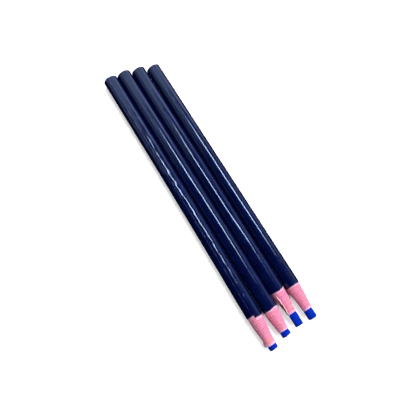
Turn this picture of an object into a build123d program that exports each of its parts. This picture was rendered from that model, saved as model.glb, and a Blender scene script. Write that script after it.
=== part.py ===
from build123d import *
import os
from math import sin, cos, tan, radians

# Set of four peel-off tailor's chalk pencils lying side by side on a table.
# Millimetres. +X runs from the flat back ends to the chalk tips, +Y runs from
# pencil 1 to pencil 4, +Z is up and the table is Z = 0. The origin is the
# centre of the set's footprint.
#
# Each pencil is a full-length chalk core, a roll of pink paper wound on it in
# many turns, a pull thread in a tunnel between core and paper, and a glossy
# coated-paper sleeve glued round the roll.

# ---- driving dimensions -------------------------------------------------
SLEEVE_OD = 8.2        # outside diameter of the sleeve
SLEEVE_WALL = 0.2      # coated paper, thickness of the wrap
CORE_D = 4.5           # chalk core
THREAD_D = 0.4         # pull thread
TUNNEL_D = 0.5         # tunnel that the thread lies in
THREAD_R = 2.35        # thread axis to core axis
THREAD_BACK = 0.5      # thread end below the flat back face
LAP_STEP = 1.5         # setback of the sleeve's lap edge on pencil 1
LAP_FROM, LAP_TO = 105.0, 255.0   # its sector, degrees from +Y over +Z
SLIT_WIDTH = 0.35      # slit that the thread has torn in pencil 3's paper
SLIT_START = 3.8       # its back end, from the sleeve's front edge
LEDGE = 0.07           # height of each paper turn's edge on the tapers

R_OUT = SLEEVE_OD / 2
R_ROLL = R_OUT - SLEEVE_WALL
R_CORE = CORE_D / 2

# One entry a pencil:
#   back      x, y of the back end's centre, from pencil 2's
#   heading   turn about +Z, degrees
#   sleeve    length of the sleeve
#   paper     length of the paper roll, taper included
#   tip       length of the chalk core, the whole pencil
#   turns     paper edges that show on the taper
#   taper     share of the taper's length, radius
#   lean      y, z by which the taper's front end is off the axis
#   core_off  y by which the core is off the axis
#   thread    angle of the thread round the core, degrees from +Y over +Z, and
#             length of its end that shows in front of the paper
#   end       rounding of the chalk's end, and its slant in degrees
PENCILS = {
    1: dict(back=(0.06, -8.35), heading=-0.264, sleeve=153.9, paper=169.0, tip=171.8,
            turns=9, taper=[(0, 3.84), (0.40, 3.66), (0.8, 3.00), (1, 2.95)],
            lean=(-0.25, -0.06), core_off=0.0, thread=(270.0, 2.0), end=(0.7, 0.0)),
    2: dict(back=(0.0, 0.0), heading=0.0, sleeve=154.7, paper=166.8, tip=170.2,
            turns=9, taper=[(0, 3.85), (0.40, 3.70), (0.64, 3.24), (1, 2.60)],
            lean=(0.0, 0.0), core_off=0.10, thread=(270.0, 2.0), end=(0.5, 9.0)),
    3: dict(back=(1.44, 8.53), heading=-0.04, sleeve=147.45, paper=160.6, tip=167.85,
            turns=3, taper=[(0, 3.80), (0.40, 3.60), (0.60, 3.20), (1, 2.68)],
            lean=(0.0, 0.0), core_off=0.30, thread=(150.0, 0.5), end=(0.25, 0.0)),
    4: dict(back=(3.64, 17.20), heading=0.0, sleeve=147.15, paper=161.2, tip=166.75,
            turns=12, taper=[(0, 3.85), (0.37, 3.42), (0.69, 2.94), (1, 2.60)],
            lean=(0.0, 0.0), core_off=-0.10, thread=(270.0, 2.0), end=(0.9, 0.0)),
}

ALONG_X = (0, 90, 0)   # turns a +Z cylinder to run along +X


def rod(radius, x0, x1, y=0.0, z=0.0):
    """Round bar along +X."""
    plane = Plane(origin=(x0, y, z), z_dir=(1, 0, 0))
    return Solid.make_cylinder(radius, x1 - x0, plane)


def cone(r0, r1, x0, x1, y=0.0, z=0.0):
    plane = Plane(origin=(x0, y, z), z_dir=(1, 0, 0))
    if abs(r0 - r1) < 1e-6:
        return Solid.make_cylinder(r0, x1 - x0, plane)
    return Solid.make_cone(r0, r1, x1 - x0, plane)


def radius_at(table, share):
    for (a, ra), (b, rb) in zip(table, table[1:]):
        if share <= b:
            return ra + (rb - ra) * (share - a) / (b - a)
    return table[-1][1]


def polar(radius, degrees):
    return radius * cos(radians(degrees)), radius * sin(radians(degrees))


def make_sleeve(p, n):
    sleeve = rod(R_OUT, 0, p["sleeve"]) - rod(R_ROLL, -1, p["sleeve"] + 1)
    if n == 1:
        # the wrap's lap edge ends a little short of the other layer
        x0, x1 = p["sleeve"] - LAP_STEP, p["sleeve"] + 1
        outline = Polyline((x0, 1, 0), (x1, 1, 0), (x1, 6, 0), (x0, 6, 0), close=True)
        sector = revolve(make_face(outline), Axis.X, LAP_TO - LAP_FROM)
        sector = Rot(LAP_FROM, 0, 0) * sector
        sleeve = sleeve - sector
    return sleeve


def make_roll(p, n):
    start = p["sleeve"] - 0.2 - (LAP_STEP if n == 1 else 0.0)
    length = p["paper"] - start
    body = rod(R_ROLL, 0, start)
    turns = []
    for i in range(p["turns"]):
        a, b = i / p["turns"], (i + 1) / p["turns"]
        mid = (a + b) / 2
        r0 = radius_at(p["taper"], a)
        r1 = radius_at(p["taper"], b) + (LEDGE if i < p["turns"] - 1 else 0.0)
        turns.append(cone(r0, min(r1, r0), start + a * length, start + b * length,
                          p["lean"][0] * mid, p["lean"][1] * mid))
    roll = body.fuse(*turns)
    roll = roll - rod(R_CORE, -1, p["paper"] + 1, y=p["core_off"])
    ty, tz = polar(THREAD_R, p["thread"][0])
    roll = roll - rod(TUNNEL_D / 2, -1, p["paper"] + 1, y=p["core_off"] + ty, z=tz)
    if n == 3:
        # the torn slit runs slantwise down the taper to where the thread comes out
        xa, xb = p["sleeve"] + SLIT_START, p["paper"] + 0.6
        ya, za = polar(4.4, 126.0)
        yb, zb = polar(3.2, 150.0)
        out_a, out_b = Vector(xa, ya, za), Vector(xb, yb, zb)
        inner = Vector(xb, p["core_off"] + ty, tz)
        normal = (out_b - out_a).cross(inner - out_b).normalized()
        inner_a = out_a + (inner - out_b)
        corners = [out_a, out_b, inner, inner_a]
        face = make_face(Polyline(*[tuple(c) for c in corners], close=True))
        slit = Solid.extrude(face.face(), normal * SLIT_WIDTH)
        slit = slit.moved(Location(tuple(normal * (-SLIT_WIDTH / 2))))
        roll = roll - slit
    return roll


def make_core(p):
    core = rod(R_CORE, 0, p["tip"], y=p["core_off"])
    rounding, slant = p["end"]
    rim = core.edges().sort_by(Axis.X)[-1]
    core = core.fillet(rounding, [rim])
    if slant:
        # end worn to a slight slant
        off = Pos(p["tip"] + 5.0 - 0.1, p["core_off"], 0) * Rot(0, 0, slant) * Box(10, 20, 20)
        core = core - off
    ty, tz = polar(THREAD_R, p["thread"][0])
    core = core - rod(TUNNEL_D / 2, -1, p["tip"] + 1, y=p["core_off"] + ty, z=tz)
    return core


def make_thread(p):
    ty, tz = polar(THREAD_R, p["thread"][0])
    return rod(THREAD_D / 2, THREAD_BACK, p["paper"] + p["thread"][1], y=p["core_off"] + ty, z=tz)


def single(shape, name):
    solids = shape.solids()
    assert len(solids) == 1, (name, len(solids))
    return solids[0]


nodes = {}
for n, p in PENCILS.items():
    place = Location((p["back"][0], p["back"][1], R_OUT), (0, 0, p["heading"]))
    made = {
        f"outer_sleeve_{n}": make_sleeve(p, n),
        f"paper_roll_{n}": make_roll(p, n),
        f"chalk_core_{n}": make_core(p),
        f"pull_thread_{n}": make_thread(p),
    }
    for name, shape in made.items():
        nodes[name] = single(shape, name).moved(place)

box = Compound(children=[s.moved(Location((0, 0, 0))) for s in nodes.values()]).bounding_box()
shift = Location((-(box.min.X + box.max.X) / 2, -(box.min.Y + box.max.Y) / 2, -box.min.Z))

os.makedirs("parts", exist_ok=True)
for name, solid in nodes.items():
    export_step(solid.moved(shift), f"parts/{name}.step")

print("size", [round(v, 3) for v in (box.size.X, box.size.Y, box.size.Z)])
print("shift", [round(v, 4) for v in shift.position])
for n, p in PENCILS.items():
    h = radians(p["heading"])
    x0, y0 = p["back"][0] + shift.position.X, p["back"][1] + shift.position.Y
    for label, d in (("back", 0.0), ("mid sleeve", p["sleeve"] / 2), ("tip", p["tip"])):
        print(n, label, round(x0 + d * cos(h), 4), round(y0 + d * sin(h), 4))
    print(n, "axis", round(cos(h), 7), round(sin(h), 7))
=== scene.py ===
import math

import bpy
import numpy as np
from mathutils import Matrix, Vector


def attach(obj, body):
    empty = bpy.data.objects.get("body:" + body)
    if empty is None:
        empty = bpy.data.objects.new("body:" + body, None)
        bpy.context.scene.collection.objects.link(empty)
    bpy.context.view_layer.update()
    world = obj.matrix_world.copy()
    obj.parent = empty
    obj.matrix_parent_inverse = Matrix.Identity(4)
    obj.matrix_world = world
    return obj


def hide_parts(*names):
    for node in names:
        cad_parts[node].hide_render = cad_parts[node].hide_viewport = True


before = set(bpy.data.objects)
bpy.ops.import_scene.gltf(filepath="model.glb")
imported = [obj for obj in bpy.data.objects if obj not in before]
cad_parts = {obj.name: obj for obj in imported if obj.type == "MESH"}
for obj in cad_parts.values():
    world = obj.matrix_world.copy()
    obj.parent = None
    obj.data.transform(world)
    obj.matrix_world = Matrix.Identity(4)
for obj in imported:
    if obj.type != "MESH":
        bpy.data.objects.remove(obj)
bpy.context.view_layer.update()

# Four peel-off tailor's chalk pencils on a pale table. Lengths below are millimetres
# in a pencil's own frame: x runs from the flat back end to the chalk tip, phi turns
# from +Y over +Z round the axis. place() puts a pencil's points into the row frame.

MM = 0.001
R_OUT = 4.1
WALL = 0.2
R_ROLL = 3.86
R_CORE = 2.25
THREAD_R = 2.35
TUNNEL = 0.25
SHIFT = (-85.9327, -4.0739)

PENCILS = {
    1: dict(back=(0.06, -8.35), heading=-0.264, sleeve=153.9, paper=169.0, tip=171.8, core=0.0, thread=270.0, free=2.0),
    2: dict(back=(0.0, 0.0), heading=0.0, sleeve=154.7, paper=166.8, tip=170.2, core=0.10, thread=270.0, free=2.0),
    3: dict(back=(1.44, 8.53), heading=-0.04, sleeve=147.45, paper=160.6, tip=167.85, core=0.30, thread=150.0, free=0.5),
    4: dict(back=(3.64, 17.20), heading=0.0, sleeve=147.15, paper=161.2, tip=166.75, core=-0.10, thread=270.0, free=2.0),
}
BARE = {1: 1.045, 2: 1.10, 3: 1.0, 4: 1.08}          # thickness of the bare chalk, of its nominal radius
AWRY = {1: 0.0, 2: 0.08, 3: 0.14, 4: -0.05}          # how far the bare chalk leans to +Y, mm
TAPER = {
    1: ([0, 0.20, 0.40, 0.60, 0.80, 1], [3.84, 3.72, 3.50, 3.12, 2.78, 2.76]),
    2: ([0, 0.25, 0.40, 0.64, 0.85, 1], [3.85, 3.80, 3.70, 3.24, 2.84, 2.68]),
    3: ([0, 0.25, 0.40, 0.60, 0.8, 1], [3.80, 3.72, 3.58, 3.20, 2.90, 2.68]),
    4: ([0, 0.37, 0.69, 1], [3.85, 3.42, 2.94, 2.64]),
}


# ---------------------------------------------------------------- numbers

def place(n, p):
    """Points of pencil n, mm in its own frame, to the row frame in metres."""
    q = PENCILS[n]
    h = math.radians(q["heading"])
    x = SHIFT[0] + q["back"][0] + p[..., 0] * math.cos(h) - p[..., 1] * math.sin(h)
    y = SHIFT[1] + q["back"][1] + p[..., 0] * math.sin(h) + p[..., 1] * math.cos(h)
    return np.stack([x, y, p[..., 2] + R_OUT], -1) * MM


class Wobble:
    """Smooth seeded noise on a barrel, about -1 to 1, periodic round it."""

    def __init__(self, seed, lo, hi, kmax, waves=14):
        r = np.random.RandomState(seed)
        self.k = r.randint(-kmax, kmax + 1, waves)
        self.w = 2 * math.pi / np.exp(r.uniform(math.log(lo), math.log(hi), waves))
        self.p = r.uniform(0, 2 * math.pi, waves)
        self.a = r.uniform(0.5, 1.0, waves)
        self.a /= math.sqrt((self.a ** 2).sum() / 2) * 1.6

    def __call__(self, x, phi):
        out = 0
        for k, w, p, a in zip(self.k, self.w, self.p, self.a):
            out = out + a * np.cos(w * x + k * phi + p)
        return out


def lattice(p, cell, seed):
    """Value noise, -1 to 1, at points in mm."""
    q = np.asarray(p, float) / cell
    i = np.floor(q).astype(np.int64)
    f = q - i
    f = f * f * (3 - 2 * f)

    def h(dx, dy, dz):
        v = ((i[..., 0] + dx) * 374761393 + (i[..., 1] + dy) * 668265263 + (i[..., 2] + dz) * 1103515245 + seed * 97531) & 0xFFFFFFFF
        v = ((v ^ (v >> 13)) * 1274126177) & 0xFFFFFFFF
        return ((v ^ (v >> 16)) & 0xFFFF) / 32767.5 - 1.0

    out = 0
    for dx in (0, 1):
        for dy in (0, 1):
            for dz in (0, 1):
                w = (f[..., 0] if dx else 1 - f[..., 0]) * (f[..., 1] if dy else 1 - f[..., 1]) * (f[..., 2] if dz else 1 - f[..., 2])
                out = out + w * h(dx, dy, dz)
    return out


def fractal(p, cell, seed, octaves=3):
    out, amp, total = 0, 1.0, 0.0
    for k in range(octaves):
        out = out + amp * lattice(p, cell / 2 ** k, seed + 11 * k)
        total += amp
        amp *= 0.5
    return out / total


def smooth(a, b, v):
    t = np.clip((v - a) / (b - a), 0, 1)
    return t * t * (3 - 2 * t)


def turn(phi, centre):
    """Signed angle from centre, degrees, -180 to 180."""
    return (np.degrees(phi) - centre + 180.0) % 360.0 - 180.0


def angles(count, fine=()):
    """Angles round the barrel, with a few more on each side of those in fine (degrees, half-width)."""
    a = list(np.linspace(0, 360, count, endpoint=False))
    for centre, half, extra in fine:
        a = [v for v in a if abs((v - centre + 180) % 360 - 180) > half]
        a += list((centre + np.linspace(-half, half, extra)) % 360)
    return np.radians(np.array(sorted(a)))


# ---------------------------------------------------------------- meshes

def skin(name, n, pts, masks, ring, poles=None):
    """A closed mesh from rows of points (rows, columns, 3). ring joins the last row to the first; poles are two end points."""
    rows, cols = pts.shape[:2]
    verts = place(n, pts).reshape(-1, 3)
    verts[:, 2] = np.maximum(verts[:, 2], 0.0)
    idx = np.arange(rows * cols).reshape(rows, cols)
    nxt = np.roll(idx, -1, axis=1)
    a, b = (idx, np.roll(idx, -1, axis=0)) if ring else (idx[:-1], idx[1:])
    an, bn = (nxt, np.roll(nxt, -1, axis=0)) if ring else (nxt[:-1], nxt[1:])
    quads = np.stack([a, an, bn, b], -1).reshape(-1, 4).tolist()
    faces = quads
    vals = {k: np.asarray(np.broadcast_to(v, (rows, cols)), float).reshape(-1) for k, v in masks.items()}
    if poles is not None:
        first, last = len(verts), len(verts) + 1
        verts = np.vstack([verts, place(n, np.array(poles, float))])
        faces = faces + [[first, int(nxt[0, j]), int(idx[0, j])] for j in range(cols)]
        faces = faces + [[last, int(idx[-1, j]), int(nxt[-1, j])] for j in range(cols)]
        vals = {k: np.concatenate([v, [v[:cols].mean(), v[-cols:].mean()]]) for k, v in vals.items()}
    me = bpy.data.meshes.new(name)
    me.from_pydata(verts.tolist(), [], faces)
    me.polygons.foreach_set("use_smooth", np.ones(len(me.polygons), bool))
    for k, v in vals.items():
        at = me.attributes.new(k, "FLOAT", "POINT")
        at.data.foreach_set("value", v.astype(np.float32))
    me.update()
    me.set_sharp_from_angle(angle=math.radians(50))
    ob = bpy.data.objects.new(name, me)
    bpy.context.scene.collection.objects.link(ob)
    return ob


def xyz(x, phi, r, cy=0.0, cz=0.0):
    x, phi, r = np.broadcast_arrays(x, phi, r)
    return np.stack([x, r * np.cos(phi) + cy, r * np.sin(phi) + cz], -1)


SEAM = {1: 115.5, 2: 214.0, 3: 322.0, 4: 248.0}       # where the wrap's outer end lies
WRINKLE = {1: 0.034, 2: 0.009, 3: 0.010, 4: 0.008}    # mm


def bow(n, x):
    """Barrel 1 bends a little towards its neighbour between its two ends."""
    if n != 1:
        return 0.0 * x
    return 0.30 * np.sin(math.pi * np.clip(x / PENCILS[n]["sleeve"], 0.0, 1.0)) ** 1.5


def front_edge(n, phi):
    """How far the sleeve's front edge is from its nominal length."""
    w = Wobble(40 + n, 30, 90, 5, 8)
    if n == 1:
        out = 0.10 * w(0, phi)
        inside = (turn(phi, 180.0) > -75.0) & (turn(phi, 180.0) < 75.0)
        out = out + 0.08 - 1.45 * inside
    elif n == 2:
        t = turn(phi, 107.0)
        out = 0.34 * np.sin(np.radians(t)) + 0.09 * np.cos(np.radians(t) * 5.0) + 0.04 * w(0, phi)
    elif n == 3:
        out = 0.07 * w(0, phi) + 0.42 * np.exp(-(turn(phi, 100.0) / 34.0) ** 2) - 0.14
        out = out - 0.55 * np.exp(-(turn(phi, 20.0) / 24.0) ** 2)
    else:
        out = 0.05 * w(0, phi) + 0.30 * np.exp(-(turn(phi, 178.0) / 40.0) ** 2)
    return out


def sleeve(n):
    q = PENCILS[n]
    N = q["sleeve"]
    seam = SEAM[n]
    fine = [(seam, 1.2, 9)]
    if n == 1:
        fine += [(105.0, 1.2, 9), (255.0, 1.2, 7)]
    phi = angles(256, fine)[None, :]
    xs = np.concatenate([np.array([0.0, 0.04, 0.12, 0.3, 0.6]), np.linspace(1.0, N - 9.0, 176), np.linspace(N - 8.6, N - 0.5, 24), np.array([N - 0.3, N - 0.15, N - 0.06])])[:, None]
    lap = ((np.degrees(phi) - seam) % 360.0) / 360.0
    spiral = 0.045 * (1 - 2 * lap)
    # the step itself is rounded over
    d = turn(phi, seam)
    spiral = np.where(np.abs(d) < 0.6, 0.045 * np.clip(d / 0.6, -1, 1), spiral)
    broad = Wobble(7 * n, 14, 60, 3)
    small = Wobble(7 * n + 1, 4, 14, 9, 18)
    wr = WRINKLE[n] * (0.7 * broad(xs, phi) + 0.5 * small(xs, phi))
    if n == 1:
        # creases where the barrel has been gripped, along the lap edge
        near = np.exp(-(turn(phi, 98.0) / 26.0) ** 2)
        wr = wr + 0.040 * near * Wobble(91, 6, 22, 7, 16)(xs, phi)
        kink = np.exp(-((xs - 50.0) / 2.2) ** 2) * np.exp(-(turn(phi, 112.0) / 16.0) ** 2)
        wr = wr - 0.10 * kink
    # the wrap isn't quite round along the top: by how much, and over which length
    flat, x0, x1 = {1: (0.06, 38, 72), 2: (-0.04, 70, 104), 3: (0.14, 40, 98), 4: (0.028, 66, 104)}[n]
    wr = wr - flat * np.cos(4 * (phi - math.radians(78.0))) * np.exp(-(turn(phi, 92.0) / 40.0) ** 2) * smooth(x0, x0 + 22, xs) * (1 - smooth(x1, x1 + 20, xs))
    # smoother towards both ends
    wr = wr * (1 - 0.6 * smooth(N - 15.0, N - 8.0, xs)) * (0.4 + 0.6 * smooth(4.0, 34.0, xs))
    edge = front_edge(n, phi)
    w = smooth(N - 7.0, N - 0.4, xs)
    back = 0.05 * Wobble(60 + n, 30, 90, 6, 10)(0, phi)
    x = xs + w * edge + (1 - smooth(0, 1.5, xs)) * back
    worn = 0.02 * fractal(xyz(xs, phi, R_OUT), 0.9, 30 + n)
    ends = np.exp(-xs / 0.12) + np.exp(-(N - xs) / 0.12)
    r = R_OUT - 0.03 + spiral + wr + worn * np.clip(ends, 0, 1)
    r = np.where(xs < 0.03, r - 0.06, r)
    r = np.where((xs >= 0.03) & (xs < 0.1), r - 0.015, r)
    rows = [xyz(x, phi, r, bow(n, x))]
    rim_f, rim_b = [], []
    # front rim, from the outside in
    x1 = N + edge
    ro = r[-1]
    for dx, dr in ((-0.015, 0.03), (0.0, 0.06), (0.0, 0.12), (-0.015, 0.165), (-0.06, 0.18)):
        jag = 0.012 * lattice(xyz(x1 + 0 * phi, phi, R_OUT) + dr * 7, 0.12, 5 + n)
        rim_f.append(xyz(x1 + dx + jag, phi, ro - dr))
    inner = []
    for xi in (N - 2.0, N - 6.0, *np.linspace(N - 10.0, 10.0, 28), 4.0, 1.0):
        wi = smooth(N - 7.0, N - 0.4, xi)
        inner.append(xyz(xi + wi * edge, phi, R_OUT - 0.03 + spiral - WALL + 0.02, bow(n, xi + wi * edge)))
    rb = r[0]
    for dx, dr in ((0.05, 0.12), (0.0, 0.09), (0.0, 0.04)):
        jag = 0.012 * lattice(xyz(0 * phi, phi, R_OUT) + dr * 7, 0.12, 15 + n)
        rim_b.append(xyz(back + dx + jag, phi, rb - dr))
    pts = np.concatenate([np.concatenate(rows)] + [np.stack([v[0]]) for v in rim_f + inner + rim_b])
    nr = pts.shape[0]
    rim = np.zeros((nr, phi.shape[1]))
    no = xs.shape[0]
    rim[no - 2:no, :] = 0.15
    rim[no:no + 5] = 1.0
    rim[-3:] = 1.0
    rim[0] = 0.9
    rim[1] = 0.5
    if n in (1, 2):
        nick = np.exp(-(turn(phi[0], {1: 78.0, 2: 84.0}[n]) / 9.0) ** 2)
        rim[:3] = np.maximum(rim[:3], 2.2 * nick * np.array([[1.0], [1.0], [0.8]]))
    along = np.zeros_like(rim)
    along[:no] = xs / N
    # the lap's edge is painted paler, partly the raw paper edge and partly a painted highlight, most on pencil 1
    seam_edge_and_highlight = np.exp(-(turn(phi, seam) / (1.9 if n == 1 else 0.9)) ** 2) * np.full((nr, 1), 2.2 if n == 1 else 1.0)
    return skin(f"sleeve_wrap_{n}", n, pts, {"rim": rim, "along": along, "seam": seam_edge_and_highlight}, ring=True)


def tunnel_radii(phi, centre, base_in, base_out):
    """Core outline and roll bore, each notched where the thread's tunnel runs between them."""
    d = np.radians(turn(phi, centre))
    s = TUNNEL ** 2 - (THREAD_R * np.sin(d)) ** 2
    ok = (s > 0) & (np.abs(d) < 0.3)
    root = np.sqrt(np.where(ok, s, 0))
    inner = np.where(ok, THREAD_R * np.cos(d) - root, 99.0)
    outer = np.where(ok, THREAD_R * np.cos(d) + root, 0.0)
    return np.minimum(base_in, inner), np.maximum(base_out, outer)


def taper_shape(n, u, phi, length):
    """Radius, centre offset and masks of the peeled paper at share u of the taper."""
    rad = np.interp(u, *TAPER[n]) + 0 * phi
    x = u * length
    cy, cz = 0 * rad, 0 * rad
    m = {k: 0 * rad for k in ("painted_shade", "pale", "warm", "stain_and_shade", "slit")}
    pts = xyz(x, phi, 3.2)

    def turns(q0, amp, irregular, seed, sharp=0.14, hand=1.0):
        """Edges of the peeled turns: q0 counts them along the taper."""
        w1 = Wobble(seed, 3, 14, 3, 10)
        q = q0 - hand * phi / (2 * math.pi) + irregular * w1(x, phi)
        f = q - np.floor(q)
        up = (f / (1 - sharp)) - 0.5
        down = 0.5 - (f - (1 - sharp)) / sharp
        s = np.where(f < 1 - sharp, up, down)
        groove = np.exp(-(np.minimum(f, 1 - f) / 0.11) ** 2)
        crest = np.exp(-((f - (1 - sharp)) / 0.10) ** 2)
        return amp * s, groove, crest

    def spot(name, xc, angle, hx, ha, seed, gain=1.0):
        """A soft uneven patch of one mask, xc mm down the taper."""
        e = ((x - xc) / hx) ** 2 + (turn(phi, angle) / ha) ** 2
        e = e * (1 + 0.7 * fractal(pts, 0.9, seed))
        m[name] = np.maximum(m[name], gain * np.exp(-e))

    if n == 4:
        a = smooth(0.0, 0.05, u) * (1 - 0.35 * smooth(0.82, 1.0, u))
        s, g, c = turns(12 * u, 0.19, 0.05, 401)
        rad = rad + a * s + 0.012 * fractal(pts, 1.1, 402)
        # painted shade in the grooves between the peeled turns; their lifted edges are paler, partly raw paper edge and
        # partly painted highlight
        m["painted_shade"] = 0.95 * g * a
        m["pale"] = 0.4 * c * a
        spot("warm", 12.6, 62.0, 0.7, 12.0, 411, 0.6)
    elif n == 2:
        a = smooth(0.0, 0.06, u) * (0.65 + 0.35 * fractal(pts, 3.0, 201))
        s, g, c = turns(9 * u, 0.12, 0.30, 202, sharp=0.2)
        rad = rad + a * s + 0.045 * fractal(pts, 1.2, 203) + 0.03 * Wobble(204, 4, 16, 3)(x, phi)
        # painted shade in the grooves between the peeled turns; their lifted edges are paler, partly raw paper edge and
        # partly painted highlight
        m["painted_shade"] = (0.55 + 0.35 * fractal(pts, 1.5, 205)) * g * a
        m["pale"] = 0.35 * c * a
        spot("warm", 10.0, 95.0, 1.1, 20.0, 211, 0.45)
    elif n == 1:
        # turns were peeled over the first half only, most on the left and below; further on the roll is smooth
        side = np.exp(-(turn(phi, 215.0) / 95.0) ** 2)
        a = smooth(0.0, 0.04, u) * (0.80 + 0.30 * side) * (1 - 0.95 * smooth(0.46, 0.52, u))
        q0 = np.interp(u, [0, 0.055, 0.125, 0.19, 0.265, 0.335, 0.40, 0.455, 1.0], [0, 1, 2, 3, 4, 5, 6, 7, 11])
        s, g, c = turns(q0, 0.17, 0.07, 101, hand=0.25)
        rad = rad + a * s + 0.02 * fractal(pts, 1.8, 102) + 0.035 * Wobble(103, 5, 14, 3)(x, phi) * smooth(0.4, 0.55, u)
        # painted shade in the grooves between the peeled turns; their lifted edges are paler, partly raw paper edge and
        # partly painted highlight
        m["painted_shade"] = np.minimum(1.1 * g * a, 1.0)
        m["pale"] = 0.5 * c * a
        # a fold of paper stands out on the left, just behind the front edge
        cy = -0.25 * u + 0 * phi
        cz = -0.06 * u + 0 * phi
        lipside = np.exp(-(turn(phi, 200.0) / 36.0) ** 2)
        lip = smooth(0.80, 0.93, u) * (1 - 0.80 * smooth(0.95, 1.0, u))
        rad = rad + 0.74 * lipside * lip
        # the fold's edge is paler, partly raw paper edge and partly painted highlight; its lower side gets painted
        # shade
        m["pale"] = np.maximum(m["pale"], 0.3 * lipside * np.exp(-((u - 0.95) / 0.02) ** 2))
        m["painted_shade"] = np.maximum(m["painted_shade"], 0.5 * np.exp(-(turn(phi, 190.0) / 30.0) ** 2) * np.exp(-((u - 0.85) / 0.03) ** 2))
        spot("warm", 14.3, 110.0, 1.3, 34.0, 111, 0.75)
        spot("stain_and_shade", 11.2, 137.0, 0.9, 13.0, 112, 0.8)
    else:
        a = smooth(0.0, 0.08, u)
        s, g, c = turns(4.5 * u, 0.05, 0.25, 301, sharp=0.3, hand=0.6)
        rad = rad + a * s + 0.014 * fractal(pts, 2.0, 302)
        # painted shade in the grooves between the turns
        m["painted_shade"] = 0.35 * g * a
        # torn edge of the outer turns: it runs slantwise down the taper, and below it the roll is thinner
        pe = np.interp(u, [0.0, 0.15, 0.30, 0.55, 1.0], [150.0, 144.0, 138.0, 135.5, 145.0]) + 1.2 * Wobble(303, 1.5, 5, 0, 8)(x, 0)
        d = (np.degrees(phi) - pe + 180.0) % 360.0 - 180.0
        depth = np.interp(u, [0.0, 0.15, 0.30, 0.6, 1.0], [0.0, 0.04, 0.20, 0.46, 0.62])
        step = smooth(-1.0, 2.0, d) * (1 - smooth(75.0, 120.0, d)) * (d > -20)
        rad = rad - depth * step
        tear = smooth(0.12, 0.24, u)
        # its lip curls up
        rad = rad + 0.24 * np.exp(-((d + 3.0) / 3.4) ** 2) * tear * (1 - 0.3 * smooth(0.9, 1.0, u))
        # the curled lip is paler: partly the raw paper edge, partly a painted highlight
        m["pale"] = np.maximum(m["pale"], 1.4 * np.exp(-((d + 4.5) / 3.6) ** 2) * tear)
        # painted shade in the opening along the torn edge
        m["slit"] = smooth(0.5, 3.0, d) * (1 - smooth(70.0, 115.0, d)) * smooth(0.40, 0.60, u)
        # painted shade on the thinner roll below the torn edge, which faces away from the light
        m["painted_shade"] = np.maximum(m["painted_shade"], 0.36 * smooth(0.5, 4.0, d) * (1 - smooth(40.0, 90.0, d)) * smooth(0.20, 0.34, u))
        # painted shade in the crevice beside pencil 2's sleeve, along where the torn edge runs on
        m["stain_and_shade"] = np.maximum(m["stain_and_shade"], 0.75 * np.exp(-((d - 1.0) / 9.0) ** 2) * (1 - smooth(0.20, 0.34, u)))
        spot("warm", 11.0, 84.0, 1.0, 15.0, 311, 1.0)
    return rad, cy, cz, m


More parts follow.
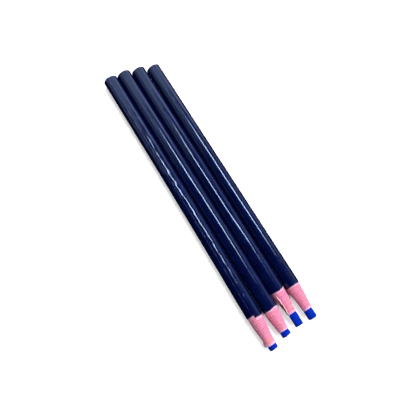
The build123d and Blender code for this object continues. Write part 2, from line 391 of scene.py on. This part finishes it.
def roll(n):
    q = PENCILS[n]
    start = q["sleeve"] - 0.2 - (1.5 if n == 1 else 0.0)
    L = q["paper"] - start
    tcen = q["thread"]
    fine = [(140.0, 26.0, 90)] if n == 3 else [(tcen, 7.5, 25)]
    phi = angles(224, fine)[None, :]
    cyc = q["core"]
    _, bore = tunnel_radii(phi, tcen, R_CORE, R_CORE + 0.015)
    names = ("painted_shade", "pale", "warm", "stain_and_shade", "slit", "tipward", "band")
    rows = []
    masks = {k: [] for k in names}

    def add(p, **given):
        shape = (1, phi.shape[1])
        rows.append(np.broadcast_to(p, (1, phi.shape[1], 3)).copy())
        for k in names:
            masks[k].append(np.broadcast_to(given.get(k, 0.0), shape).copy())

    for x in (0.02, 0.3, 3.0, *np.linspace(8.0, start - 8.0, 28), start - 4.0, start - 1.0):
        add(xyz(x, phi, R_ROLL + 0 * phi, bow(n, x)))
    us = np.linspace(0.0, 1.0, 200)
    front = 0.08 * Wobble(70 + n, 30, 90, 6, 10)(0, phi)
    edge = q["sleeve"] + front_edge(n, phi)
    reach = 1.2 if n == 1 else 0.7
    last = None
    for u in us:
        rad, cy, cz, m = taper_shape(n, np.full_like(phi, u), phi, L)
        x = start + u * L + front * smooth(0.75, 1.0, u)
        # the first stretch lies under the sleeve, so it stays inside it
        cover = 1 - smooth(0.0, 0.5, (start + u * L) - (q["sleeve"] + 0.05))
        rad = np.minimum(rad, R_ROLL + 0.25 * (1 - cover) + 0 * phi)
        rad = np.maximum(rad, bore + cyc * np.cos(phi) + 0.09)
        # where the sleeve was peeled back last, its glue and tint are left on the paper
        band = 1 - smooth(0.75 * reach, 1.25 * reach, x - edge)
        add(xyz(x, phi, rad, cy, cz), tipward=smooth(0.35, 1.0, u) + 0 * phi, band=band, **m)
        last = (x, rad, cy, cz)
    x, rad, cy, cz = last
    # rolled-over front edge, then the annulus in to the bore
    inner_y = bore * np.cos(phi) + cyc
    inner_z = bore * np.sin(phi)
    oy = rad * np.cos(phi) + cy
    oz = rad * np.sin(phi) + cz
    for k, dx in ((0.12, 0.05), (0.32, 0.10), (0.6, 0.10), (0.85, 0.07), (1.0, 0.0)):
        yy = oy + (inner_y - oy) * k
        zz = oz + (inner_z - oz) * k
        xx = x + dx + 0.02 * lattice(np.stack([x + 0 * yy, yy * 3, zz * 3], -1), 0.5, 80 + n)
        # the inner half of the front face, towards the bore, gets painted shade; the face is paler as raw paper edge
        add(np.stack([xx, yy, zz], -1), painted_shade=0.25 * (k > 0.5), pale=0.3, tipward=1.0)
    for xb in (q["paper"] - 1.2, q["paper"] * 0.66, q["paper"] * 0.33, 2.0, 0.03):
        add(xyz(xb, phi, bore, cyc))
    # back face: the wound layers show as a spiral of fine edges
    for k in np.linspace(0.03, 0.985, 40):
        yy = inner_y + (R_ROLL * np.cos(phi) - inner_y) * k
        zz = inner_z + (R_ROLL * np.sin(phi) - inner_z) * k
        rr = np.sqrt(yy ** 2 + zz ** 2)
        f = rr / 0.16 - phi / (2 * math.pi) + 0.25 * Wobble(150 + n, 30, 90, 4, 6)(0, phi)
        f = f - np.floor(f)
        groove = np.exp(-(np.minimum(f, 1 - f) / 0.16) ** 2)
        xx = 0.0 + 0.035 * groove + 0.012 * lattice(np.stack([0 * yy, yy * 4, zz * 4], -1), 0.6, 160 + n)
        # painted shade in the spiral grooves between the wound layers; the lands between them are paler raw paper edges
        add(np.stack([np.broadcast_to(xx, yy.shape), yy, zz], -1), painted_shade=0.85 * groove, pale=0.25 * (1 - groove))
    pts = np.concatenate(rows)
    return skin(f"wound_paper_{n}", n, pts, {k: np.concatenate(v) for k, v in masks.items()}, ring=True)


def core(n):
    q = PENCILS[n]
    fine = [(q["thread"], 7.5, 25)]
    phi = angles(144, fine)[None, :]
    line, _ = tunnel_radii(phi, q["thread"], R_CORE, 0.0)
    bare, _ = tunnel_radii(phi, q["thread"], R_CORE * BARE[n], 0.0)
    E = q["tip"] - (0.22 if n == 2 else 0.0)
    rows, worn = [], []
    away = smooth(9.0, 30.0, np.abs(turn(phi, q["thread"])))    # 0 at the thread's groove, which doesn't lean

    def add(p, w=0.0):
        rows.append(np.broadcast_to(p, (1, phi.shape[1], 3)).copy())
        worn.append(np.broadcast_to(w, (1, phi.shape[1])).copy())

    cyc = q["core"]
    for k in (0.12, 0.3, 0.5, 0.68, 0.84, 0.95):
        p = xyz(0.0, phi, line * k, cyc)
        p[..., 0] = 0.02 + 0.03 * fractal(p * [1, 1, 1], 0.8, 500 + n)
        add(p, 0.3)
    add(xyz(0.03, phi, line * 0.992, cyc), 0.6)
    for x in (0.12, 1.0, 30.0, 75.0, 120.0, q["paper"] - 6.0, q["paper"] - 1.2):
        add(xyz(x, phi, line, cyc))
    for x in np.linspace(q["paper"] - 0.8, E - 1.15, 26):
        out = smooth(0.0, 0.7, x - q["paper"])
        line = line + (bare - line) * out
        cyc = q["core"] + AWRY[n] * out * away
        p = xyz(x, phi, line, cyc)
        d = 0.045 * fractal(p, 0.9, 510 + n) + 0.02 * lattice(p, 0.22, 520 + n)
        add(xyz(x, phi, line + d - 0.02, cyc), 0.25)
    # the worn end: a rounded shoulder and a slightly domed face
    c, dome, slant, az = {1: (0.75, 0.10, -0.06, 20), 2: (0.50, 0.10, 0.09, 190), 3: (0.28, 0.05, 0.0, 0), 4: (0.90, 0.12, 0.03, 40)}[n]
    for t in np.linspace(0, 1, 22):
        if t < 0.5:
            a = t / 0.5 * math.pi / 2
            r = line - c * (1 - math.cos(a))
            x = E - dome - c + c * math.sin(a)
        else:
            s = (t - 0.5) / 0.5
            r = (line - c) * (1 - 0.93 * s)
            x = E - dome + dome * (1 - (1 - s) ** 2)
        if t == 0:
            continue
        cyc = q["core"] + AWRY[n] * (away + (1 - away) * (1 - r / line))
        p = xyz(x + 0 * phi, phi, r, cyc)
        tilt = slant * (p[..., 1] - cyc) * math.cos(math.radians(az)) + slant * p[..., 2] * math.sin(math.radians(az))
        k = smooth(0.0, 0.5, t)
        chips = 0.08 * k * np.minimum(fractal(p, 1.3, 530 + n), 0.2) + 0.025 * lattice(p, 0.3, 540 + n)
        p[..., 0] = p[..., 0] + k * tilt + chips
        shrink = 1 - 0.03 * k * np.clip(fractal(p, 1.0, 550 + n), -1, 0.4)
        p[..., 1] = cyc + (p[..., 1] - cyc) * shrink
        p[..., 2] = p[..., 2] * shrink
        add(p, 0.25 + 0.6 * (0.25 < t < 0.7))
    pts = np.concatenate(rows)
    first = pts[0].mean(0)
    last = pts[-1].mean(0) + [0.01, 0, 0]
    return skin(f"chalk_stick_{n}", n, pts, {"worn": np.concatenate(worn)}, ring=False, poles=[first, last])


def thread(n):
    """Three-ply thread: plies twisted over the front stretch that can show, and a plain round behind."""
    q = PENCILS[n]
    a = math.radians(q["thread"])
    cy, cz = q["core"] + THREAD_R * math.cos(a), THREAD_R * math.sin(a)
    x0, x1 = 0.5, q["paper"] + q["free"]
    twist0 = x1 - 26.0
    cols = 48
    th = np.linspace(0, 2 * math.pi, cols, endpoint=False)[None, :]
    xs = np.concatenate([[x0], np.linspace(x0 + 0.4, twist0 - 1.0, 30), np.linspace(twist0, x1, 420)])[:, None]
    ramp = smooth(twist0, twist0 + 2.0, xs)
    ph = 3 * (th - 2 * math.pi * xs / 1.3)
    ply = np.abs(np.cos(ph / 2))
    r = 0.19 - ramp * 0.075 * (1 - ply)
    fuzz = 0.006 * lattice(np.stack([xs + 0 * th, np.cos(th) + 0 * xs, np.sin(th) + 0 * xs], -1), 0.09, 600 + n) * ramp
    end = smooth(x1 - 0.25, x1, xs)
    r = (r + fuzz) * (1 - 0.25 * end)
    p = np.stack([xs + 0 * th, cy + r * np.cos(th), cz + r * np.sin(th)], -1)
    groove = ramp * (1 - ply)
    return skin(f"thread_ply_{n}", n, p, {"groove": groove}, ring=False, poles=[[x0, cy, cz], [x1 + 0.03, cy, cz]])


# ---------------------------------------------------------------- materials

class Nodes:
    def __init__(self, name):
        self.mat = bpy.data.materials.new(name)
        self.mat.use_nodes = True
        self.t = self.mat.node_tree
        self.t.nodes.clear()
        self.out = self.add("ShaderNodeOutputMaterial")
        self.bsdf = self.add("ShaderNodeBsdfPrincipled")
        self.link(self.bsdf.outputs[0], self.out.inputs[0])
        self.coord = self.add("ShaderNodeTexCoord")

    def add(self, kind, **props):
        n = self.t.nodes.new(kind)
        for k, v in props.items():
            setattr(n, k, v)
        return n

    def link(self, a, b):
        self.t.links.new(a, b)

    def put(self, socket, value):
        if isinstance(value, bpy.types.NodeSocket):
            self.link(value, socket)
        else:
            socket.default_value = value

    def scaled(self, sx, sy, sz):
        m = self.add("ShaderNodeMapping")
        self.link(self.coord.outputs["Object"], m.inputs["Vector"])
        m.inputs["Scale"].default_value = (sx, sy, sz)
        return m.outputs[0]

    def noise(self, vec, scale=1.0, detail=2.0, rough=0.5, distort=0.0):
        n = self.add("ShaderNodeTexNoise")
        self.link(vec, n.inputs["Vector"])
        n.inputs["Scale"].default_value = scale
        n.inputs["Detail"].default_value = detail
        n.inputs["Roughness"].default_value = rough
        n.inputs["Distortion"].default_value = distort
        return n.outputs["Fac"]

    def cells(self, vec, scale, feature="F1", rand=1.0):
        n = self.add("ShaderNodeTexVoronoi", feature=feature)
        self.link(vec, n.inputs["Vector"])
        n.inputs["Scale"].default_value = scale
        n.inputs["Randomness"].default_value = rand
        return n.outputs["Distance"]

    def span(self, value, a, b, c=0.0, d=1.0, kind="SMOOTHSTEP"):
        n = self.add("ShaderNodeMapRange", interpolation_type=kind, clamp=True) if kind == "LINEAR" else self.add("ShaderNodeMapRange", interpolation_type=kind)
        self.put(n.inputs["Value"], value)
        n.inputs["From Min"].default_value = a
        n.inputs["From Max"].default_value = b
        n.inputs["To Min"].default_value = c
        n.inputs["To Max"].default_value = d
        return n.outputs[0]

    def math(self, op, a, b=0.0, c=None):
        n = self.add("ShaderNodeMath", operation=op)
        self.put(n.inputs[0], a)
        self.put(n.inputs[1], b)
        if c is not None:
            self.put(n.inputs[2], c)
        return n.outputs[0]

    def mix(self, fac, a, b, blend="MIX"):
        n = self.add("ShaderNodeMix", data_type="RGBA", blend_type=blend)
        self.put(n.inputs[0], fac)
        self.put(n.inputs[6], a if isinstance(a, bpy.types.NodeSocket) else (*a, 1.0))
        self.put(n.inputs[7], b if isinstance(b, bpy.types.NodeSocket) else (*b, 1.0))
        return n.outputs[2]

    def attr(self, name):
        n = self.add("ShaderNodeAttribute", attribute_type="GEOMETRY", attribute_name=name)
        return n.outputs["Fac"]

    def bump(self, height, strength, distance):
        n = self.add("ShaderNodeBump")
        self.link(height, n.inputs["Height"])
        n.inputs["Strength"].default_value = strength
        n.inputs["Distance"].default_value = distance
        return n.outputs[0]


def navy_paper():
    m = Nodes("navy_coated_paper")
    mm = m.scaled(1000, 1000, 1000)
    long = m.scaled(45, 1600, 1600)
    mottle = m.noise(mm, 0.16, 3, 0.55)
    grain = m.noise(mm, 2.6, 3, 0.6)
    streak = m.noise(long, 1.0, 2, 0.5)
    base = m.mix(m.span(mottle, 0.3, 0.7), (0.0004, 0.0020, 0.0320), (0.0010, 0.0038, 0.0460))
    base = m.mix(m.math("MULTIPLY", m.span(streak, 0.62, 0.80), 0.35), base, (0.010, 0.014, 0.055))
    # tiny nicks in the coating
    nick = m.span(m.cells(mm, 0.9), 0.10, 0.05)
    pick = m.span(m.noise(mm, 0.42, 1), 0.60, 0.68)
    base = m.mix(m.math("MULTIPLY", m.math("MULTIPLY", nick, pick), 0.35), base, (0.10, 0.12, 0.20))
    # raw paper at the cut ends, half covered by coating
    rim = m.math("MULTIPLY", m.attr("rim"), m.span(m.noise(mm, 3.2, 3), 0.38, 0.62, 0.25, 1.0))
    base = m.mix(rim, base, (0.30, 0.30, 0.38))
    # paler along the lap edge: raw paper edge and painted highlight
    seam = m.math("MULTIPLY", m.attr("seam"), m.span(m.noise(m.scaled(300, 1000, 1000), 1.0, 3), 0.40, 0.62))
    base = m.mix(m.math("MULTIPLY", seam, 0.30), base, (0.06, 0.07, 0.14))
    m.put(m.bsdf.inputs["Base Color"], base)
    rough = m.span(m.noise(mm, 0.35, 3), 0.3, 0.7, 0.12, 0.18)
    rough = m.math("MAXIMUM", rough, m.math("MULTIPLY", m.attr("rim"), 0.8))
    m.put(m.bsdf.inputs["Roughness"], rough)
    m.bsdf.inputs["IOR"].default_value = 1.5
    m.bsdf.inputs["Specular Tint"].default_value = (0.50, 0.70, 1.0, 1.0)
    height = m.math("ADD", m.math("MULTIPLY", grain, 0.5), m.math("MULTIPLY", m.noise(mm, 0.9, 2), 0.5))
    m.put(m.bsdf.inputs["Normal"], m.bump(height, 0.07, 0.00001))
    return m.mat


def pink_paper():
    m = Nodes("pink_wound_paper")
    mm = m.scaled(1000, 1000, 1000)
    fibre = m.noise(m.scaled(700, 2600, 2600), 1.0, 4, 0.6, 0.6)
    blot = m.noise(mm, 0.8, 4, 0.62)
    base = m.mix(m.span(blot, 0.3, 0.7), (0.585, 0.138, 0.270), (0.69, 0.200, 0.356))
    base = m.mix(m.math("MULTIPLY", m.span(fibre, 0.35, 0.75), 0.35), base, (0.82, 0.36, 0.47))
    # warmer, handled paper towards the tip
    warm = m.math("MULTIPLY", m.attr("tipward"), m.span(m.noise(mm, 0.33, 2), 0.35, 0.65, 0.2, 1.0))
    base = m.mix(m.math("MULTIPLY", warm, 0.18), base, (0.86, 0.30, 0.28))
    ragged = m.span(m.noise(mm, 1.3, 3, 0.6), 0.25, 0.60, 0.45, 1.0)
    base = m.mix(m.math("MULTIPLY", m.attr("warm"), ragged), base, (0.82, 0.235, 0.19))
    # a stain on pencil 1, and painted shade in the crevice on pencil 3
    base = m.mix(m.math("MULTIPLY", m.attr("stain_and_shade"), ragged), base, (0.34, 0.20, 0.36))
    base = m.mix(m.math("MULTIPLY", m.attr("band"), 0.75), base, (0.74, 0.42, 0.60))
    # painted shade: darker pink in the grooves between peeled turns, on the shaded sides below the torn and folded
    # edges, and in the recesses of the front and back faces
    base = m.mix(m.attr("painted_shade"), base, (0.40, 0.06, 0.15))
    # painted shade in the opening along pencil 3's torn edge
    base = m.mix(m.attr("slit"), base, (0.15, 0.020, 0.075))
    # paler raw paper edges, with a painted highlight on the lifted and torn edges
    base = m.mix(m.math("MINIMUM", m.math("MULTIPLY", m.attr("pale"), 0.7), 1.0), base, (0.95, 0.62, 0.71))
    # blue dust rubbed off the chalk on the front edge
    dust = m.math("MULTIPLY", m.span(m.attr("tipward"), 0.945, 1.0), m.span(m.noise(mm, 1.6, 3), 0.35, 0.6, 0.35, 1.0))
    base = m.mix(m.math("MULTIPLY", dust, 0.8), base, (0.62, 0.47, 0.88))
    m.put(m.bsdf.inputs["Base Color"], base)
    m.put(m.bsdf.inputs["Roughness"], m.span(m.noise(mm, 1.2, 2), 0.3, 0.7, 0.72, 0.9))
    m.bsdf.inputs["Specular IOR Level"].default_value = 0.35
    m.bsdf.inputs["Sheen Weight"].default_value = 0.12
    m.bsdf.inputs["Sheen Roughness"].default_value = 0.5
    height = m.math("ADD", fibre, m.math("MULTIPLY", m.noise(mm, 5.0, 3), 0.5))
    m.put(m.bsdf.inputs["Normal"], m.bump(height, 0.55, 0.00004))
    return m.mat


def blue_chalk():
    m = Nodes("blue_chalk")
    mm = m.scaled(1000, 1000, 1000)
    lump = m.noise(mm, 0.9, 4, 0.6)
    fine = m.noise(mm, 6.0, 3, 0.65)
    base = m.mix(m.span(lump, 0.3, 0.72), (0.0006, 0.012, 0.26), (0.0010, 0.026, 0.44))
    base = m.mix(m.math("MULTIPLY", m.span(fine, 0.58, 0.75), 0.55), base, (0.004, 0.050, 0.60))
    base = m.mix(m.math("MULTIPLY", m.attr("worn"), m.span(fine, 0.45, 0.7)), base, (0.003, 0.042, 0.56))
    pits = m.span(m.cells(mm, 2.4), 0.16, 0.04)
    # the pits are painted darker, as painted shade
    base = m.mix(m.math("MULTIPLY", pits, 0.7), base, (0.001, 0.004, 0.14))
    m.put(m.bsdf.inputs["Base Color"], base)
    m.put(m.bsdf.inputs["Roughness"], m.span(fine, 0.3, 0.7, 0.78, 0.95))
    m.bsdf.inputs["Specular IOR Level"].default_value = 0.03
    height = m.math("SUBTRACT", m.math("ADD", m.math("MULTIPLY", lump, 0.8), m.math("MULTIPLY", fine, 0.5)), m.math("MULTIPLY", pits, 0.6))
    m.put(m.bsdf.inputs["Normal"], m.bump(height, 0.7, 0.00007))
    return m.mat


def cotton():
    m = Nodes("pull_thread_cotton")
    mm = m.scaled(1000, 1000, 1000)
    fibre = m.noise(m.scaled(2500, 9000, 9000), 1.0, 3, 0.6, 0.8)
    base = m.mix(m.span(fibre, 0.3, 0.7), (0.70, 0.66, 0.62), (0.90, 0.87, 0.83))
    # painted shade in the grooves between the plies
    base = m.mix(m.math("MULTIPLY", m.attr("groove"), 0.8), base, (0.34, 0.30, 0.30))
    base = m.mix(m.math("MULTIPLY", m.span(m.noise(mm, 1.4, 2), 0.5, 0.7), 0.25), base, (0.45, 0.42, 0.70))
    m.put(m.bsdf.inputs["Base Color"], base)
    m.put(m.bsdf.inputs["Roughness"], m.span(fibre, 0.3, 0.7, 0.75, 0.95))
    m.bsdf.inputs["Sheen Weight"].default_value = 0.2
    m.put(m.bsdf.inputs["Normal"], m.bump(fibre, 0.6, 0.00003))
    return m.mat


def floor_material():
    m = Nodes("white_table")
    mm = m.scaled(1000, 1000, 1000)
    tone = m.noise(mm, 0.02, 3, 0.5)
    m.bsdf.inputs["Roughness"].default_value = 0.9
    m.bsdf.inputs["Specular IOR Level"].default_value = 0.1
    # the table glows a little as painted light, so shadows on it stay pale, but not in the middle, below the row
    part = m.add("ShaderNodeSeparateXYZ")
    m.link(mm, part.inputs[0])
    x, y = part.outputs[0], part.outputs[1]
    along = m.math("MULTIPLY", m.span(x, -88.0, -58.0), m.span(x, 71.5, 67.5))
    across = m.math("MULTIPLY", m.span(y, -17.5, -10.0), m.span(y, 18.0, 10.0))
    below = m.math("MULTIPLY", along, across)
    white = m.mix(m.span(tone, 0.3, 0.7), (0.79, 0.79, 0.79), (0.81, 0.81, 0.81))
    # painted shadow: the table is greyer below the row
    base = m.mix(below, white, (0.45, 0.47, 0.53))
    # painted shade: the table is darkest between pencils 1 and 2
    shade = m.math("MULTIPLY", m.span(y, -10.6, -9.2), m.span(y, -6.2, -7.6))
    base = m.mix(m.math("MULTIPLY", along, shade), base, (0.10, 0.11, 0.16))
    m.put(m.bsdf.inputs["Base Color"], base)
    size = m.add("ShaderNodeVectorMath", operation="LENGTH")
    m.link(mm, size.inputs[0])
    # painted light: far from the row the table glows more, where the lights reach it less
    painted_glow = m.math("MULTIPLY", m.math("SUBTRACT", 1.0, below), m.span(size.outputs["Value"], 250.0, 1100.0, 0.46, 1.0))
    m.bsdf.inputs["Emission Color"].default_value = (1.0, 1.0, 1.0, 1.0)
    m.put(m.bsdf.inputs["Emission Strength"], painted_glow)
    return m.mat


# ---------------------------------------------------------------- the pieces

navy, pink, blue, cloth = navy_paper(), pink_paper(), blue_chalk(), cotton()
for n in PENCILS:
    for ob, mat, node, slot, body in (
        (sleeve(n), navy, f"outer_sleeve_{n}", "navy_sleeve", f"pencil_{n}"),
        (roll(n), pink, f"paper_roll_{n}", "pink_paper", f"pencil_{n}"),
        (core(n), blue, f"chalk_core_{n}", "blue_chalk", f"pencil_{n}"),
        (thread(n), cloth, f"pull_thread_{n}", "thread", f"thread_{n}"),
    ):
        ob.data.materials.append(mat)
        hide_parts(node)
        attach(ob, body)

# ---------------------------------------------------------------- floor, light, camera

me = bpy.data.meshes.new("table")
me.from_pydata([(-4, -4, 0), (4, -4, 0), (4, 4, 0), (-4, 4, 0)], [], [(0, 1, 2, 3)])
floor = bpy.data.objects.new("table", me)
me.materials.append(floor_material())
bpy.context.scene.collection.objects.link(floor)

# a round pale backdrop, far off
ring = [(3.8 * math.cos(math.radians(6 * k)), 3.8 * math.sin(math.radians(6 * k))) for k in range(60)]
me = bpy.data.meshes.new("backdrop")
me.from_pydata([(x, y, z) for z in (-0.02, 7.0) for x, y in ring], [], [(k, (k + 1) % 60, 60 + (k + 1) % 60, 60 + k) for k in range(60)])
backdrop = bpy.data.objects.new("backdrop", me)
me.materials.append(floor.data.materials[0])
bpy.context.scene.collection.objects.link(backdrop)


def panel(name, where, aim, size, radiance, colour=(1, 1, 1), along=(1, 0, 0)):
    """Rectangular soft light of a given brightness seen face on; its long side follows the direction along."""
    light = bpy.data.lights.new(name, "AREA")
    light.shape = "RECTANGLE"
    light.size, light.size_y = size
    light.energy = radiance * size[0] * size[1] * math.pi
    light.color = colour
    ob = bpy.data.objects.new(name, light)
    z = (Vector(where) - Vector(aim)).normalized()
    x = Vector(along)
    x = (x - z * x.dot(z)).normalized()
    y = z.cross(x)
    ob.matrix_world = Matrix.Translation(where) @ Matrix((x, y, z)).transposed().to_4x4()
    bpy.context.scene.collection.objects.link(ob)
    return ob


panel("strip", (-0.226, 0.2126, 1.0), (0.0, 0.0, 0.0), (0.505, 0.108), 49.0, (1.0, 0.96, 0.91), along=(0.78, 0.63, 0)).data.cycles.max_bounces = 1
panel("rear", (-1.05, 0.30, 0.95), (0.0, 0.0, 0.0), (0.9, 3.4), 2.0)
panel("left", (-1.0, -1.45, 0.50), (0.0, 0.0, 0.0), (0.9, 0.8), 1.0, along=(1, -0.6, 0))
panel("right", (-0.15, 1.5, 0.75), (0.0, 0.0, 0.0), (1.5, 1.3), 0.8)
panel("key", (0.95, 1.05, 0.95), (0.0, 0.0, 0.0), (0.8, 0.8), 10.0)

world = bpy.data.worlds.new("room")
bpy.context.scene.world = world
world.use_nodes = True
bg = world.node_tree.nodes["Background"]
bg.inputs["Color"].default_value = (1, 1, 1, 1)
bg.inputs["Strength"].default_value = 0.20
world.cycles_visibility.glossy = False
for ob in (floor, backdrop):
    ob.visible_glossy = False
    ob.visible_diffuse = False
backdrop.visible_shadow = False

cam = bpy.data.cameras.new("camera")
cam.sensor_width = 36.0
cam.lens = 36.0 * 418.348 / 420.0
cam.clip_start, cam.clip_end = 0.005, 20.0
eye = bpy.data.objects.new("camera", cam)
eye.matrix_world = Matrix.Translation((0.0500733, -0.0681369, 0.2155847)) @ Matrix((
    (0.5212585734, -0.8330857187, 0.1850883163),
    (0.8392139311, 0.4610142112, -0.2884196160),
    (0.1549499189, 0.3056698911, 0.9394447511))).to_4x4()
bpy.context.scene.collection.objects.link(eye)
bpy.context.scene.camera = eye
bpy.context.scene.view_settings.view_transform = "Standard"
bpy.context.scene.view_settings.look = "None"
